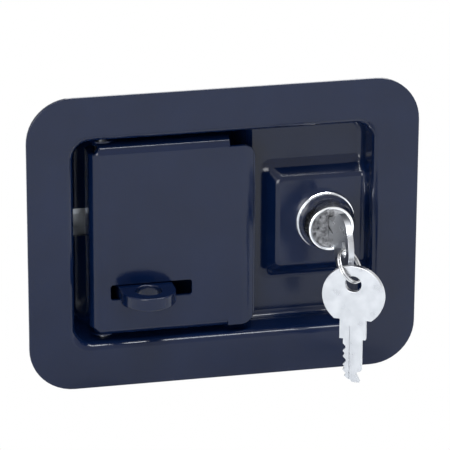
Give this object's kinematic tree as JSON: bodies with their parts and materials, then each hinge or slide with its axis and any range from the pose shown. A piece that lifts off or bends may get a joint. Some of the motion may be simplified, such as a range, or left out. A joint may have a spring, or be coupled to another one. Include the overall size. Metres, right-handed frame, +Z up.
{
  "type": "flush paddle latch",
  "caption": "Flush-mount paddle latch: a hinged pull paddle in a pressed tray draws a slam bolt, with a padlock eye, a key-operated cam lock and its keys.",
  "frame": {"origin": "centre of the flange's back face, where it lies on the panel, midway between the weld studs", "axes": "+X to the right seen from the front, along the flange's long side; +Y into the panel; +Z up"},
  "size_m": [0.1396, 0.0717, 0.108],
  "materials": {
    "black_coat": "glossy black powder coat with a blue cast",
    "zinc_plate": "bright zinc plate",
    "spring_steel": "drawn wire",
    "bush_bronze": "turned bronze",
    "chrome": "polished",
    "plug_metal": "brushed",
    "brass": "stamped",
    "key_metal": "nickel plated"
  },
  "bodies": {
    "pan_body": {"pan": "black_coat", "padlock_eye": "black_coat", "mounting_studs": "zinc_plate", "bolt_housing": "zinc_plate", "housing_rivets": "zinc_plate", "pivot_pin": "zinc_plate", "pivot_clip": "spring_steel", "lock_body": "chrome", "lock_washer": "zinc_plate", "lock_nut": "chrome", "bolt_spring": "spring_steel", "paddle_spring": "spring_steel"},
    "paddle_body": {"paddle": "black_coat", "paddle_actuator": "zinc_plate", "pivot_bushes": "bush_bronze"},
    "bolt_body": {"latch_bolt": "zinc_plate", "bolt_rod": "zinc_plate", "rod_clip": "spring_steel"},
    "plug_body": {"lock_plug": "plug_metal", "lock_wafers": "brass", "lock_cam": "zinc_plate", "cam_washer": "zinc_plate", "cam_screw": "zinc_plate", "key_in_lock": "key_metal"},
    "ring_body": {"key_ring": "spring_steel"},
    "spare_body": {"spare_key": "key_metal"}
  },
  "joints": [
    {"name": "paddle_hinge", "type": "hinge", "parent": "pan_body", "child": "paddle_body", "pos_m": [-0.042, 0.007, 0], "axis": [0, 0, -1], "range_deg": [0, 35], "stiffness_Nm_per_rad": 0.32, "springref_deg": -28.65, "deforming": ["paddle_spring"]},
    {"name": "bolt_slide", "type": "slide", "parent": "pan_body", "child": "bolt_body", "axis": [1, 0, 0], "range_m": [0, 0.0123], "deforming": ["bolt_spring"]},
    {"name": "lock_turn", "type": "hinge", "parent": "pan_body", "child": "plug_body", "pos_m": [0.0382, 0, 0], "axis": [0, -1, 0], "range_deg": [0, 90]},
    {"name": "ring_swing", "type": "hinge", "parent": "plug_body", "child": "ring_body", "pos_m": [0.0382, -0.0243, 0], "axis": [-1, 0, 0], "range_deg": [0, 40]},
    {"name": "spare_key_swing", "type": "hinge", "parent": "ring_body", "child": "spare_body", "pos_m": [0.0387, -0.0329, -0.0093], "axis": [-0.454, -0.891, 0], "range_deg": [-15, 15]}
  ],
  "couplings": [
    {"joint": "bolt_slide", "follows": "paddle_hinge", "m_per_rad": 0.02}
  ]
}
